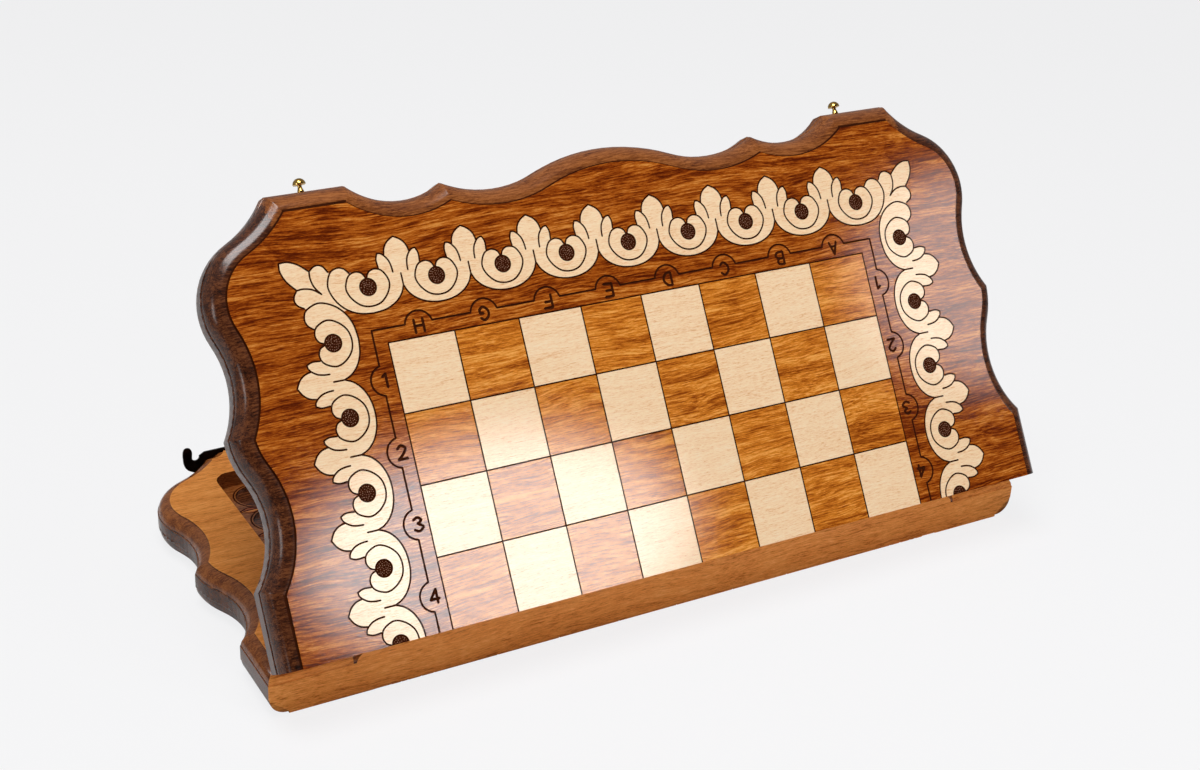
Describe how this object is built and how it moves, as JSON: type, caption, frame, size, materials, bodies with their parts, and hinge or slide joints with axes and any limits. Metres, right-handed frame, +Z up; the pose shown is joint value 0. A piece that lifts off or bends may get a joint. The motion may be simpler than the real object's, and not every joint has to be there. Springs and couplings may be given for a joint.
{
  "type": "folding chess and backgammon box",
  "caption": "Folding wooden game box: two scalloped, double-moulded tray halves on a long hinge, chess field outside, checker trays inside, swing-hook catches.",
  "frame": {"origin": "middle of the hinge line projected onto the resting face of the lower half", "axes": "+X along the hinge, +Y from the hinge to the closing edge, +Z up"},
  "size_m": [0.599, 0.3234, 0.2943],
  "materials": {
    "stained_beech": "gloss lacquer",
    "rim_beech": "satin lacquer",
    "carved_beech": "satin lacquer",
    "hinge_brass": "dull",
    "hinge_pin_steel": "drawn",
    "bronzed_steel": "dark bronze",
    "knob_brass": "polished"
  },
  "bodies": {
    "lower_half": {"lower_board": "stained_beech", "lower_rim_frame": "rim_beech", "lower_tray_floor": "carved_beech", "hinge_leaf_lower": "hinge_brass", "hinge_screws_lower": "hinge_brass", "hinge_pin": "hinge_pin_steel", "hook_screws": "bronzed_steel", "hook_washers": "bronzed_steel"},
    "upper_half": {"upper_board": "stained_beech", "upper_rim_frame": "rim_beech", "upper_tray_floor": "carved_beech", "hinge_leaf_upper": "hinge_brass", "hinge_screws_upper": "hinge_brass", "catch_knob_left": "knob_brass", "catch_knob_right": "knob_brass"},
    "left_hook": {"hook_left": "bronzed_steel"},
    "right_hook": {"hook_right": "bronzed_steel"}
  },
  "joints": [
    {"name": "main_hinge", "type": "hinge", "parent": "lower_half", "child": "upper_half", "pos_m": [0, 0, 0.03275], "axis": [1, 0, 0], "range_deg": [-58.3, 121.7]},
    {"name": "left_hook_pivot", "type": "hinge", "parent": "lower_half", "child": "left_hook", "pos_m": [-0.226, 0.2931, 0.0195], "axis": [0, -1, 0], "range_deg": [-100.2, 30]},
    {"name": "right_hook_pivot", "type": "hinge", "parent": "lower_half", "child": "right_hook", "pos_m": [0.226, 0.2931, 0.0195], "axis": [0, 1, 0], "range_deg": [-100.2, 30]}
  ]
}
